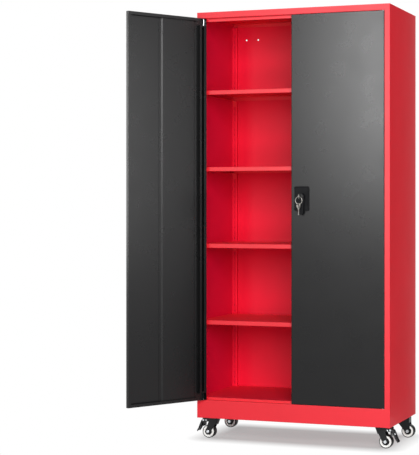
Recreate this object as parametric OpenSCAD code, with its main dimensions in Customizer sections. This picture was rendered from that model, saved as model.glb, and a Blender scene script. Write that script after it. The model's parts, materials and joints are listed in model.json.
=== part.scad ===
// Garage storage cabinet on casters: a folded sheet steel case with four shelves on clips, two doors on
// pivot pins, a lever lock that drives two rods, and four swivel casters, the front two with brakes.
// X runs across the width, Y from the front to the back and Z up from the floor. The left door stands open.

/* [Case] */
// Outside width of the case
case_w = 800; // [600:10:1000]
// Outside depth of the case
case_d = 400; // [320:10:520]
// Height of the case above its bottom edge
case_h = 1625; // [1300:5:1900]
// Height of the bottom edge above the floor
case_rise = 87; // [84:1:110]
// Thickness of the steel sheet
sheet = 0.8; // [0.6:0.1:1.2]
// Outside radius of a folded corner
bend_r = 2; // [1.5:0.1:2.5]
// Width of the front stiles
stile_w = 21; // [18:1:30]
// Width of the side panels' rear flanges
rear_flange = 18; // [12:1:30]
// Height of the header rail
header_h = 24.5; // [20:0.5:40]
// Height of the plinth rail
plinth_h = 72; // [60:1:100]
// Drop of the door stop below the header
header_lip = 12; // [10:1:20]
// Rise of the door stop above the plinth
plinth_lip = 10; // [9:1:16]
// Depth of the bottom return of the plinth
plinth_return = 20; // [12:1:30]
// Height of the base pan above the bottom edge
base_rise = 4; // [2:0.5:8]
// Thickness of the base pan
pan_sheet = 1.2; // [1:0.1:2]
// Height of the base pan's upturned edges
pan_flange = 20; // [10:1:30]
// Height of the top panel's downturned edges
top_flange = 15; // [8:1:20]
// Depth of the front uprights
upright_d = 57; // [50:1:80]
// Distance of the rear slotted flanges from the back
post_d = 15; // [10:1:25]
// Diameter of the holes for wall screws
anchor_d = 7; // [5:0.5:9]
// Distance between the two holes of a pair
anchor_pitch = 53; // [40:1:80]
// Distance of the outer wall hole from the side
anchor_in = 60; // [50:1:90]
// Distance of the wall holes below the top
anchor_drop = 70; // [40:1:120]

/* [Shelves] */
// Height of a shelf's folded edge
shelf_edge = 17.6; // [14:0.2:24]
// Width of the lip under a shelf's edge
shelf_lip = 12; // [10:1:16]
// Gap between the door stops and a shelf's front edge
shelf_back = 6.6; // [1:0.2:10]
// Gap around a shelf
shelf_gap = 1; // [0.8:0.1:1.5]
// Distance from slot to slot
slot_pitch = 22; // [18:1:28]
// Width of a slot
slot_w = 4; // [3:0.5:6]
// Height of a slot
slot_h = 10; // [8:1:14]
// Width of a shelf clip
clip_w = 14; // [10:1:16]
// Height of a shelf clip
clip_h = 24; // [20:1:30]
// Reach of a clip's ledge under the shelf
clip_reach = 16; // [12:1:24]
// Thickness of a shelf clip
clip_sheet = 1.5; // [1:0.1:2]

/* [Doors] */
// Thickness of a door
door_t = 16; // [14:0.5:20]
// Gap around a door
door_gap = 1.5; // [1:0.1:2.5]
// Gap between the closed doors
meet_gap = 2; // [1.5:0.5:4]
// Width of the lips folded behind a door's edges
door_lip = 12; // [8:1:16]
// Gap between a swinging door and the stop lips
stop_gap = 0.6; // [0.4:0.1:5]
// Angle at which the left door stands open
door_open = 120; // [60:1:120]
// Diameter of the pivot pins
hinge_pin_d = 4; // [3:0.5:6]
// Length of pin that shows at each end of a door
pin_show = 28; // [20:1:40]
// Height of the saddle that holds a pin
saddle_h = 6; // [4:1:10]
// Reach of a pin into the rail
pin_reach = 5; // [3:1:8]
// Width of the hinge channel
channel_w = 32; // [28:1:40]
// Width of the hinge channel's outer lip
channel_lip = 12; // [8:1:13]
// Width of the hinge channel's inner lip
channel_inner_lip = 9; // [6:1:11]
// Thickness of the hinge channel and the stiffener
channel_sheet = 1; // [0.8:0.1:1.5]
// Distance from the hinge edge to the stiffener
stiffener_in = 55; // [50:1:80]
// Width of the stiffener's flat web
stiffener_w = 153; // [100:1:170]
// Height of the stiffener
stiffener_h = 6; // [4:0.5:10]
// Width of the stiffener's sloping sides
stiffener_slope = 5; // [3:0.5:8]
// Width of the stiffener's feet
stiffener_foot = 10; // [6:1:12]

/* [Lock] */
// Width of the lock plate
plate_w = 61; // [56:1:70]
// Height of the lock plate
plate_h = 97; // [88:1:120]
// Thickness of the lock plate
plate_t = 4; // [3:0.5:6]
// Corner radius of the lock plate
plate_r = 7; // [6:1:12]
// Distance of the lock plate from the door's free edge
plate_in = 13.5; // [13:0.5:20]
// Height of the lock plate's centre above the case's bottom edge
lock_z = 878.5; // [700:0.5:950]
// Height of the lever's pivot above the plate's centre
lever_up = 8; // [0:1:14]
// Distance that the lever stands out from the door
lever_out = 18; // [16:1:24]
// Thickness of the lever's arm
lever_t = 10; // [7:1:11]
// Radius of the lever's boss
lever_boss_r = 14; // [12.5:0.5:18]
// Radius of the lever's tip
lever_tip_r = 9.5; // [7:0.5:12]
// Distance from the lever's pivot to the centre of its tip
lever_l = 62; // [50:1:80]
// Diameter of the lock cylinder
cylinder_d = 16; // [13:1:17]
// Wall of the sleeve around the lock cylinder
sleeve_wall = 2; // [1.5:0.1:2.5]
// Diameter of the lock rods
rod_d = 5; // [4:0.5:6]
// Travel of each lock rod in a quarter turn of the lever
rod_throw = 12.7; // [11:0.1:14]
// Diameter of the crank pins
crank_pin_d = 4; // [3:0.5:5]
// Distance between the rod guides
guide_step = 260; // [150:10:300]
// Radius of a key's bow
bow_r = 11; // [9:0.5:13]
// Thickness of a key
key_t = 1.6; // [1.2:0.1:2]
// Length of a key's blade
key_l = 24; // [18:1:26]
// Radius of the key ring
ring_r = 14; // [12:1:18]
// Angle by which the spare key has swung round
spare_swing = 25; // [0:5:30]

/* [Casters] */
// Diameter of a wheel
wheel_d = 53; // [46:1:58]
// Width of a wheel
wheel_w = 30; // [24:1:34]
// Depth of the tyre
tyre_t = 3.5; // [3:0.5:5]
// Depth of the white ring
ring_depth = 8.5; // [5:0.5:9]
// Diameter of an axle bolt
axle_d = 8; // [6:1:10]
// Trail of the braked casters
front_trail = 22; // [18:1:26]
// Trail of the plain casters
rear_trail = 38; // [30:1:42]
// Thickness of a fork's legs
leg_t = 2.5; // [2:0.5:4]
// Gap between a wheel and a fork's leg
leg_gap = 1.5; // [1:0.1:3]
// Radius of a leg's end around the axle
leg_end_r = 12; // [9:1:14]
// Length of a caster plate
caster_plate_l = 76; // [70:1:84]
// Breadth of a caster plate
caster_plate_b = 62; // [56:1:80]
// Thickness of a caster plate
caster_plate_t = 3; // [2:0.5:4]
// Bolt spacing along the plate
bolt_l = 58; // [54:1:60]
// Bolt spacing across the plate
bolt_b = 44; // [40:1:50]
// Diameter of a caster bolt
bolt_d = 6; // [5:1:8]
// Diameter of a kingpin
kingpin_d = 12; // [8:1:14]
// Distance of a caster's swivel from the side of the case
caster_in_x = 52; // [46:1:80]
// Distance of a caster's swivel from the front and the back
caster_in_y = 62; // [50:1:80]
// Reach of a brake pedal behind its wheel
pedal_reach = 26; // [18:1:30]
// Thickness of a brake pedal
pedal_t = 3; // [2:0.5:4]
// Width of a brake pedal
pedal_w = 29; // [20:1:30]
// Gap between the raised brake shoe and the tyre
shoe_gap = 2.8; // [2.5:0.1:4]

/* [Hidden] */
$fn = 48;

red = "#d42a30";
charcoal = "#333334";
black = "#1c1c1e";
zinc = "#b8bbbf";
white = "#efefea";
rubber = "#171717";

// Clearances: a running fit on the radius, a loose hole on the radius, a seat, and a cut's overrun
run = 0.05;
loose = 0.2;
seat = 0.3;
over = 1;

// Case
half_w = case_w / 2;
side_in = half_w - sheet;
corner_x = half_w - bend_r;
jamb_x = half_w - stile_w;
back_y = case_d - 2 * sheet;
post_y = case_d - post_d;
header_z = case_h - header_h;
floor_z = plinth_h + plinth_lip;
upright_z0 = base_rise + max(pan_flange, pan_sheet + bolt_d + 3);
upright_z1 = case_h - top_flange - seat;

// Doors: u runs from the hinge edge to the free edge
door_x0 = meet_gap / 2;
door_x1 = jamb_x - door_gap;
door_w = door_x1 - door_x0;
door_z0 = plinth_h + door_gap;
door_h = header_z - door_gap - door_z0;
door_max = 123;
hinge_relief = 0.9;
pivot_y = sheet + loose + hinge_pin_d / 2;
pivot_in = ceil((pivot_y * tan(door_max / 2) + hinge_relief) * 10) / 10;
pivot_x = jamb_x - pivot_in;
pivot_u = door_x1 - pivot_x;
channel_end = pin_show + saddle_h;
stop_y = pivot_y + norm([pivot_u, door_t - pivot_y]) + stop_gap;

// Shelves
shelf_count = 4;
shelf_steps = round((header_z - floor_z) / (shelf_count + 1) / slot_pitch);
shelf_y0 = stop_y + sheet + shelf_back;
shelf_y1 = upright_d + clip_sheet + shelf_gap;
shelf_y2 = post_y - clip_sheet - shelf_gap;
shelf_nose = jamb_x - shelf_gap;
shelf_half = side_in - shelf_gap;
slot_x = half_w - stile_w / 2;
slot_z0 = floor_z - shelf_edge - clip_h / 2;
slot_first = ceil((floor_z + slot_h - slot_z0) / slot_pitch);
slot_last = floor((header_z - header_lip - slot_h - slot_z0) / slot_pitch);
hook_drop = 4;

function shelf_top(k) = floor_z + k * shelf_steps * slot_pitch;

// Lock
lock_x = door_x0 + plate_in + plate_w / 2;
pivot_z = lock_z + lever_up;
cylinder_r = cylinder_d / 2;
sleeve_r = cylinder_r + run + sleeve_wall;
lever_back = plate_t + 0.5;
crank_y = sheet + 6;
crank_t = 2;
crank_r = rod_throw / sqrt(2);
crank_pin_r = crank_pin_d / 2;
crank_disc_r = crank_r + crank_pin_r + 1.5;
yoke_t = 2.5;
yoke_y = crank_y + crank_t + seat;
rod_r = rod_d / 2;
rod_y = yoke_y + yoke_t / 2;
rod_x = (crank_r + crank_r / sqrt(2)) / 2;
rod_start = crank_disc_r + 2;
slot_play = 0.4;
case_wall = 1;
case_half_x = crank_disc_r + 6;
case_half_z = rod_start + rod_throw + 6;
case_back = door_t - 0.6;
guide_half = rod_r + 3.5;
bezel_t = 1.8;
bow_hole_r = 2.5;
wire_r = 0.9;
bow_neck = 3;
bow_y = lever_out + bezel_t + loose + bow_neck + bow_r - 1;
bow_hole_off = bow_r - bow_hole_r - 2.5;
ring_y = bow_y + bow_hole_off;
hang = bow_hole_r - wire_r - loose;

// Casters
wheel_r = wheel_d / 2;
rim_r = wheel_r - tyre_t;
hub_r = rim_r - ring_depth;
hub_boss_r = axle_d / 2 + 4.5;
axle_r = axle_d / 2;
leg_in = wheel_w / 2 + leg_gap;
leg_out = leg_in + leg_t;
plate_top = case_rise + base_rise;
plate_bottom = plate_top - caster_plate_t;
race_h = 3;
race_r = 22;
fork_race_h = 3.7;
roof_t = 3;
roof_top = plate_bottom - race_h - seat - fork_race_h;
roof_bottom = roof_top - roof_t;
kingpin_r = kingpin_d / 2;
king_head_r = kingpin_r + 3;
king_head_h = 4;
bolt_head_h = 2.5;
bolt_r = bolt_d / 2;
fork_nose = 19;
hood_end = 45;
hood_drop = 21;
brake_arm_h = 15;
brake_arm_end = front_trail + 24;
pedal_x = brake_arm_end - 4;
pedal_z = roof_bottom - 6;
pedal_pin_r = 2.5;
pedal_knee = [pedal_x + 9, pedal_z + 3];
pedal_toe = [front_trail + wheel_r + pedal_reach, 25];
shoe_r = 2;
shoe_at = wheel_r + shoe_gap + shoe_r;
shoe = [front_trail + shoe_at / sqrt(2), wheel_r + shoe_at / sqrt(2)];

// Shapes shared by several pieces

// Frame of the case: Y from the front face backwards, Z from the bottom edge up
module on_case() {
  translate([0, -case_d / 2, case_rise]) children();
}

// The given right-hand shape on the right, or its mirror image on the left
module handed(side) {
  mirror([side < 0 ? 1 : 0, 0, 0]) children();
}

// A shape of the closed right door, mirrored to the left door and swung open
module on_left_door() {
  on_case()
    translate([-pivot_x, pivot_y, 0])
      rotate([0, 0, -door_open])
        translate([pivot_x, -pivot_y, 0])
          mirror([1, 0, 0]) children();
}

// Frame of a door: u from the hinge edge, Y from the outer face, Z from the bottom edge of the door
module on_door() {
  translate([door_x1, 0, door_z0]) mirror([1, 0, 0]) children();
}

// Frame of the lock: X and Z from the lever's pivot, Y from the outer face of the door
module on_lock() {
  on_case() translate([lock_x, 0, pivot_z]) children();
}

// Frame of a caster: the swivel stands on Z and the wheel trails along X
module on_caster(side, end) {
  translate([side * (half_w - caster_in_x), end * (case_d / 2 - caster_in_y), 0])
    rotate([0, 0, side < 0 ? 180 : 0]) children();
}

// An outline in X and Z made thick along Y, from y0 to y1
module along_y(y0, y1) {
  translate([0, y1, 0]) rotate([90, 0, 0]) linear_extrude(y1 - y0) children();
}

// An outline in Y and Z made long along X, centred
module along_x(length) {
  translate([-length / 2, 0, 0]) rotate([90, 0, 90]) linear_extrude(length) children();
}

// A round bar along Y
module rod_along_y(r, y0, y1) {
  translate([0, y1, 0]) rotate([90, 0, 0]) cylinder(r = r, h = y1 - y0);
}

// Folded strip in plan: a leg along X, a leg along Y, and a round corner at the origin
module fold(leg_x, leg_y, t = sheet, r = bend_r) {
  translate([r, 0]) square([leg_x - r, t]);
  translate([0, r]) square([t, leg_y - r]);
  intersection() {
    square(r);
    translate([r, r]) difference() {
      circle(r);
      circle(r - t);
    }
  }
}

// Rectangle with round corners, centred
module round_rect(w, h, r) {
  square([w - 2 * r, h], center = true);
  square([w, h - 2 * r], center = true);
  for (x = [-1, 1], y = [-1, 1])
    translate([x * (w / 2 - r), y * (h / 2 - r)]) circle(r);
}

// Flat bar with round ends from a to b
module bar(a, b, t) {
  n = [a[1] - b[1], b[0] - a[0]] / norm(b - a) * t / 2;
  polygon([a + n, b + n, b - n, a - n]);
  translate(a) circle(t / 2);
  translate(b) circle(t / 2);
}

// Case

// Side of the case with its front stile and its rear flange
module side_panel(side) {
  color(red) on_case() handed(side)
    linear_extrude(case_h)
      translate([half_w, 0]) mirror([1, 0]) {
        fold(stile_w, case_d / 2);
        translate([0, case_d]) mirror([0, 1]) fold(rear_flange, case_d / 2);
      }
}

module back_panel() {
  color(red) on_case() difference() {
    translate([-corner_x, back_y, 0]) cube([2 * corner_x, sheet, case_h]);
    for (side = [-1, 1], n = [0, 1])
      translate([side * (half_w - anchor_in - n * anchor_pitch), 0, case_h - anchor_drop])
        rod_along_y(anchor_d / 2, back_y - over, case_d + over);
  }
}

// Plan of a flat panel that fills the case, notched at the folded corners
module case_plan() {
  translate([-side_in, bend_r]) square([2 * side_in, case_d - 2 * bend_r]);
  translate([-corner_x, sheet]) square([2 * corner_x, back_y - sheet]);
}

module top_panel() {
  color(red) on_case() translate([0, 0, case_h - top_flange]) {
    translate([0, 0, top_flange - sheet]) linear_extrude(sheet) case_plan();
    translate([-corner_x, back_y - sheet, 0]) cube([2 * corner_x, sheet, top_flange]);
    for (side = [-1, 1]) handed(side)
      translate([side_in - sheet, bend_r, 0]) cube([sheet, case_d - 2 * bend_r, top_flange]);
  }
}

// Holes through a rail's flange for the pivot pins and for a lock rod
module rail_holes(x) {
  for (side = [-1, 1])
    translate([side * pivot_x, pivot_y, -over]) cylinder(d = hinge_pin_d + 2 * run, h = bend_r + 2 * over);
  translate([x, rod_y, -over]) cylinder(r = rod_r + 0.5, h = bend_r + 2 * over);
}

module header_rail() {
  color(red) on_case() translate([0, 0, header_z]) difference() {
    along_x(2 * jamb_x) {
      fold(stop_y + sheet, header_h);
      translate([stop_y, -header_lip]) square([sheet, header_lip + sheet]);
    }
    rail_holes(lock_x + rod_x);
  }
}

module plinth_rail() {
  color(red) on_case() difference() {
    along_x(2 * jamb_x) {
      fold(plinth_return, plinth_h / 2);
      translate([0, plinth_h]) mirror([0, 1]) fold(stop_y + sheet, plinth_h / 2);
      translate([stop_y, plinth_h - sheet]) square([sheet, plinth_lip + sheet]);
    }
    translate([0, 0, plinth_h]) mirror([0, 0, 1]) rail_holes(lock_x - rod_x);
  }
}

module floor_panel() {
  color(red) on_case() translate([0, 0, floor_z - sheet]) linear_extrude(sheet) {
    translate([-jamb_x, stop_y + sheet]) square([2 * jamb_x, back_y - stop_y - sheet]);
    translate([-side_in, upright_d]) square([2 * side_in, post_y - upright_d]);
  }
}

// Places of one caster's bolts
module at_bolts() {
  for (x = [-1, 1], y = [-1, 1])
    translate([x * bolt_l / 2, y * bolt_b / 2, 0]) children();
}

module base_pan() {
  edge_x = jamb_x - 2;
  edge_y = upright_d + 2;
  color(red) difference() {
    on_case() translate([0, 0, base_rise]) {
      linear_extrude(pan_sheet) case_plan();
      for (y = [sheet, back_y - pan_sheet])
        translate([-edge_x, y, 0]) cube([2 * edge_x, pan_sheet, pan_flange]);
      for (side = [-1, 1]) handed(side)
        translate([side_in - pan_sheet, edge_y, 0]) cube([pan_sheet, post_y - 2 - edge_y, pan_flange]);
    }
    for (side = [-1, 1], end = [-1, 1])
      on_caster(side, end) at_bolts()
        translate([0, 0, plate_top - over]) cylinder(r = bolt_r + loose, h = pan_sheet + 2 * over);
  }
}

// Row of slots in an upright's flange, cut along Y
module slots(y) {
  for (i = [slot_first:slot_last])
    translate([slot_x - slot_w / 2, y - over, slot_z0 + i * slot_pitch - slot_h / 2])
      cube([slot_w, sheet + 2 * over, slot_h]);
}

module front_upright(side) {
  color(red) on_case() handed(side) difference() {
    translate([jamb_x, upright_d, upright_z0])
      linear_extrude(upright_z1 - upright_z0)
        mirror([0, 1]) fold(side_in - jamb_x, upright_d - sheet);
    slots(upright_d - sheet);
  }
}

module rear_upright(side) {
  color(red) on_case() handed(side) difference() {
    translate([jamb_x, post_y, upright_z0])
      linear_extrude(upright_z1 - upright_z0) fold(side_in - jamb_x, back_y - post_y);
    slots(post_y);
  }
}

// Shelves and clips

module shelf(k) {
  depth = shelf_y2 - shelf_y1;
  color(red) on_case() translate([0, 0, shelf_top(k)]) {
    translate([0, 0, -sheet]) linear_extrude(sheet) {
      translate([-shelf_nose, shelf_y0 + bend_r]) square([2 * shelf_nose, shelf_y2 - shelf_y0 - bend_r]);
      translate([-shelf_half, shelf_y1]) square([2 * shelf_half, depth]);
    }
    along_x(2 * shelf_nose) translate([shelf_y0, 0]) {
      mirror([0, 1]) fold(2 * bend_r, shelf_edge / 2);
      translate([0, -shelf_edge]) fold(shelf_lip, shelf_edge / 2);
    }
    translate([-shelf_half, shelf_y2 - sheet, -shelf_edge]) cube([2 * shelf_half, sheet, shelf_edge]);
    for (side = [-1, 1]) handed(side)
      translate([shelf_half, shelf_y1, -shelf_edge]) {
        translate([-sheet, 0, 0]) cube([sheet, depth, shelf_edge]);
        translate([-shelf_lip, 0, 0]) cube([shelf_lip, depth, sheet]);
      }
  }
}

// One clip: its plate lies on the slotted flange at Y 0, its ledge carries the shelf at Z 0
module clip() {
  tab_w = slot_w - 2 * seat;
  tab_h = slot_h - 2;
  hook_y = -sheet - seat;
  translate([-clip_w / 2, 0, -clip_h]) cube([clip_w, clip_sheet, clip_h]);
  translate([-clip_w / 2, 0, -clip_sheet]) cube([clip_w, clip_reach, clip_sheet]);
  translate([-tab_w / 2, hook_y - clip_sheet, -(clip_h + tab_h) / 2])
    cube([tab_w, clip_sheet - hook_y + over, tab_h]);
  translate([-tab_w / 2, hook_y - clip_sheet, -(clip_h + tab_h) / 2 - hook_drop])
    cube([tab_w, clip_sheet, tab_h]);
}

module shelf_clips() {
  color(red) on_case()
    for (k = [1:shelf_count], side = [-1, 1])
      translate([side * slot_x, 0, shelf_top(k) - shelf_edge]) {
        translate([0, upright_d, 0]) clip();
        translate([0, post_y, 0]) mirror([0, 1, 0]) clip();
      }
}

// Doors

// Pressed door: outer face, four folded edges and lips behind three of them
module door_pan() {
  lip_from = sheet + channel_w + seat;
  on_door() difference() {
    union() {
      linear_extrude(door_h) {
        fold(door_w / 2, door_t);
        translate([door_w, 0]) mirror([1, 0]) {
          fold(door_w / 2, door_t);
          translate([0, door_t - sheet]) square([door_lip, sheet]);
        }
      }
      for (top = [0, 1])
        translate([0, 0, top * door_h]) mirror([0, 0, top]) {
          translate([sheet, sheet, 0]) cube([door_w - 2 * sheet, door_t - sheet, sheet]);
          translate([lip_from, door_t - sheet, 0]) cube([door_w - lip_from - sheet, sheet, door_lip]);
        }
    }
    for (z = [0, door_h - sheet])
      translate([pivot_u, pivot_y, z - over])
        cylinder(d = hinge_pin_d + loose, h = sheet + 2 * over);
  }
}

// Section of the hinge channel, open towards the inside of the case
module channel_section() {
  depth = door_t - sheet;
  fold(channel_w, depth, channel_sheet);
  translate([channel_w - channel_sheet, 0]) square([channel_sheet, depth]);
  translate([0, depth - channel_sheet]) square([channel_lip, channel_sheet]);
  translate([channel_w - channel_inner_lip, depth - channel_sheet])
    square([channel_inner_lip, channel_sheet]);
}

// Section of the raised stiffener: a flat web between two sloping sides with feet
module stiffener_section() {
  t = channel_sheet;
  base = stiffener_w + stiffener_slope;
  end = base + stiffener_foot;
  rise = stiffener_h - t;
  inset = t * tan(atan(rise / stiffener_slope) / 2);
  polygon([
    [stiffener_w - end, t], [stiffener_w - base, t], [0, stiffener_h], [stiffener_w, stiffener_h], [base, t],
    [end, t], [end, 0], [base - inset, 0], [stiffener_w - inset, rise], [inset, rise],
    [stiffener_w - base + inset, 0], [stiffener_w - end, 0]
  ]);
}

// Hinge channel with a saddle for a pin at each end, and raised stiffener, on the inside of a door
module door_stiffeners() {
  on_door() {
    translate([sheet, sheet, channel_end]) linear_extrude(door_h - 2 * channel_end) channel_section();
    for (z = [pin_show, door_h - channel_end])
      translate([0, 0, z]) linear_extrude(saddle_h) difference() {
        translate([sheet, pivot_y]) square([channel_w, door_t - sheet - pivot_y]);
        translate([pivot_u, pivot_y]) circle(d = hinge_pin_d + loose);
      }
    translate([stiffener_in, sheet, sheet + seat])
      linear_extrude(door_h - 2 * (sheet + seat)) stiffener_section();
  }
}

// The two pivot pins of a door, from the rails into the saddles
module door_pins() {
  pin_start = -door_gap - sheet - pin_reach;
  on_door()
    for (top = [0, 1])
      translate([0, 0, top * door_h]) mirror([0, 0, top])
        translate([pivot_u, pivot_y, pin_start])
          cylinder(d = hinge_pin_d, h = channel_end - over - pin_start);
}

module left_door_skin() {
  color(charcoal) on_left_door() door_pan();
}

module left_door_stiffeners() {
  color(charcoal) on_left_door() door_stiffeners();
}

module left_door_pins() {
  color(zinc) on_left_door() door_pins();
}

module right_door_skin() {
  color(charcoal) difference() {
    on_case() door_pan();
    on_lock() rod_along_y(sleeve_r + 1, -over, sheet + over);
    on_lock() translate([rod_x, rod_y, 0]) cylinder(r = rod_r + 2 * run, h = case_h - pivot_z);
    on_lock() translate([-rod_x, rod_y, -pivot_z]) cylinder(r = rod_r + 2 * run, h = pivot_z);
  }
}

module right_door_stiffeners() {
  color(charcoal) on_case() door_stiffeners();
}

module right_door_pins() {
  color(zinc) on_case() door_pins();
}

// Lock

module lock_plate() {
  rim = 4;
  color(black) on_lock() difference() {
    translate([0, 0, -lever_up]) along_y(-plate_t, 0) round_rect(plate_w, plate_h, plate_r);
    translate([0, 0, -lever_up]) along_y(-plate_t - over, -plate_t / 2)
      round_rect(plate_w - 2 * rim, plate_h - 2 * rim, plate_r - 2);
    rod_along_y(sleeve_r + 2 * run, -plate_t - over, over);
  }
}

// Pressed cover over the crank, open towards the door
module lock_case() {
  color(zinc) on_lock() difference() {
    translate([-case_half_x, sheet, -case_half_z])
      cube([2 * case_half_x, case_back - sheet, 2 * case_half_z]);
    translate([-case_half_x + case_wall, sheet - over, -case_half_z + case_wall])
      cube([2 * (case_half_x - case_wall), case_back - sheet - case_wall + over, 2 * (case_half_z - case_wall)]);
    for (end = [0, 1]) rotate([0, end * 180, 0])
      translate([rod_x, rod_y, case_half_z - case_wall - over])
        cylinder(r = rod_r + 0.7, h = case_wall + 2 * over);
  }
}

module rod_guides() {
  color(zinc) on_lock()
    for (end = [0, 1], n = [1, 2]) rotate([0, end * 180, 0])
      translate([rod_x, 0, n * guide_step]) difference() {
        translate([-guide_half, sheet, -guide_half])
          cube([2 * guide_half, rod_y + guide_half - sheet - over, 2 * guide_half]);
        translate([0, rod_y, -guide_half - over]) cylinder(r = rod_r + run, h = 2 * (guide_half + over));
      }
}

// Lever with its boss, its sleeve through the door and a bore for the lock cylinder
module lever() {
  color(black) on_lock() difference() {
    union() {
      rod_along_y(lever_boss_r, -lever_out, -lever_back);
      rod_along_y(sleeve_r, -lever_back - over, crank_y);
      along_y(-lever_out, -lever_out + lever_t) {
        polygon([
          [-lever_boss_r, 0], [lever_boss_r, 0], [lever_tip_r, -lever_l], [-lever_tip_r, -lever_l]
        ]);
        translate([0, -lever_l]) circle(lever_tip_r);
      }
    }
    rod_along_y(cylinder_r + run, -lever_out - over, crank_y + over);
  }
}

// Crank plate on the end of the sleeve, with a pin for each rod
module crank() {
  color(zinc) on_lock() {
    rod_along_y(crank_disc_r, crank_y, crank_y + crank_t);
    for (end = [0, 1]) rotate([0, 45 + end * 180, 0])
      translate([crank_r, 0, 0]) rod_along_y(crank_pin_r, crank_y, yoke_y + yoke_t + over);
  }
}

module lock_cylinder() {
  color(black) on_lock() difference() {
    union() {
      rod_along_y(cylinder_r, -lever_out - loose - over, crank_y - over);
      rod_along_y(cylinder_r + 1.5, -lever_out - loose - bezel_t, -lever_out - loose);
    }
    translate([-key_t / 2 - loose, -lever_out - loose - bezel_t - over, -cylinder_r / 2])
      cube([key_t + 2 * loose, key_l - 2 + over, cylinder_r]);
  }
}

// A key with its bow centred at the origin, its blade along +Z and its hole on the far side
module key() {
  blade_w = cylinder_r - 2 * loose;
  rotate([0, 90, 0]) translate([0, 0, -key_t / 2]) difference() {
    union() {
      cylinder(r = bow_r, h = key_t);
      translate([-bow_r - key_l, -blade_w / 2, 0]) cube([key_l + bow_r / 2, blade_w, key_t]);
    }
    translate([bow_hole_off, 0, -over]) cylinder(r = bow_hole_r, h = key_t + 2 * over);
  }
}

// The key in the lock, the ring through its bow, and the spare key that hangs on the ring
module keys() {
  color(zinc) on_lock() {
    translate([0, -bow_y, 0]) rotate([-90, 0, 0]) key();
    translate([0, -ring_y, -hang - ring_r]) rotate([90, 0, 0])
      rotate_extrude() translate([ring_r, 0]) circle(wire_r);
    translate([0, -ring_y, -2 * (hang + ring_r) - bow_hole_off]) rotate([180, 0, -spare_swing]) key();
  }
}

// A lock rod that runs up from the crank, with a slotted yoke around its pin
module rod(length) {
  pin = crank_r / sqrt(2);
  play = crank_pin_r + slot_play;
  difference() {
    along_y(yoke_y, yoke_y + yoke_t) polygon([
      [pin - play - 2, -pin - play - 2], [crank_r + play + 2, -pin - play - 2],
      [crank_r + play + 2, rod_start], [rod_x + rod_r, rod_start + 2],
      [rod_x - rod_r, rod_start + 2], [pin - play - 2, rod_start]
    ]);
    translate([pin - play, yoke_y - over, -pin - play])
      cube([crank_r - pin + 2 * play, yoke_t + 2 * over, 2 * play]);
  }
  translate([rod_x, rod_y, rod_start]) cylinder(r = rod_r, h = length - rod_start);
}

module upper_rod() {
  color(zinc) on_lock() rod(door_z0 + door_h - pivot_z - loose);
}

module lower_rod() {
  color(zinc) on_lock() rotate([0, 180, 0]) rod(pivot_z - door_z0 - loose);
}

// Casters

module caster_plate(side, end) {
  color(black) on_caster(side, end) difference() {
    union() {
      translate([0, 0, plate_bottom]) linear_extrude(caster_plate_t)
        round_rect(caster_plate_l, caster_plate_b, 6);
      translate([0, 0, plate_bottom - race_h]) cylinder(r = race_r - 1, h = race_h + over);
      translate([0, 0, roof_bottom - seat]) cylinder(r = kingpin_r, h = plate_bottom - roof_bottom);
      translate([0, 0, roof_bottom - seat - king_head_h]) cylinder(r = king_head_r, h = king_head_h);
    }
    at_bolts() translate([0, 0, plate_bottom - over])
      cylinder(r = bolt_r + loose, h = caster_plate_t + 2 * over);
  }
}

module caster_bolts() {
  color(zinc)
    for (side = [-1, 1], end = [-1, 1]) on_caster(side, end) at_bolts() {
      translate([0, 0, plate_bottom - bolt_head_h]) cylinder(r = bolt_d * 0.85, h = bolt_head_h);
      translate([0, 0, plate_bottom]) cylinder(r = bolt_r, h = caster_plate_t + pan_sheet + bolt_d + 2);
      translate([0, 0, plate_top + pan_sheet]) cylinder(r = bolt_d * 0.95, h = bolt_d * 0.8, $fn = 6);
    }
}

// Outline of a fork's leg on the plain casters
module plain_leg() {
  polygon([
    [-fork_nose, roof_top], [hood_end, roof_top], [hood_end, roof_top - hood_drop - roof_t],
    [rear_trail + leg_end_r, wheel_r], [rear_trail - leg_end_r, wheel_r]
  ]);
  translate([rear_trail, wheel_r]) circle(leg_end_r);
}

// Outline of a fork's leg on the braked casters, with the arm that carries the pedal
module braked_leg() {
  polygon([
    [-fork_nose, roof_top], [brake_arm_end, roof_top], [brake_arm_end, roof_top - brake_arm_h],
    [front_trail - 2, roof_top - brake_arm_h], [front_trail + leg_end_r, wheel_r],
    [front_trail - leg_end_r, wheel_r]
  ]);
  translate([front_trail, wheel_r]) circle(leg_end_r);
}

// Fork: race, roof, two legs and, on a plain caster, a rear wall
module fork(side, end, braked) {
  trail = braked ? front_trail : rear_trail;
  roof_end = braked ? front_trail + 6 : hood_end;
  color(black) on_caster(side, end) difference() {
    union() {
      translate([0, 0, roof_bottom]) cylinder(r = race_r, h = roof_t + fork_race_h);
      translate([0, -leg_out, roof_bottom]) cube([roof_end, 2 * leg_out, roof_t]);
      for (y = [-leg_out, leg_in]) along_y(y, y + leg_t) {
        if (braked) braked_leg();
        else plain_leg();
      }
      if (!braked)
        translate([hood_end - leg_t, -leg_out, roof_top - hood_drop])
          cube([leg_t, 2 * leg_out, hood_drop]);
    }
    translate([0, 0, roof_bottom - over])
      cylinder(r = kingpin_r + run, h = roof_t + fork_race_h + 2 * over);
    translate([trail, 0, wheel_r]) rod_along_y(axle_r + run, -leg_out - over, leg_out + over);
    if (braked)
      translate([pedal_x, 0, pedal_z]) rod_along_y(pedal_pin_r + run, -leg_out - over, leg_out + over);
  }
}

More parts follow.
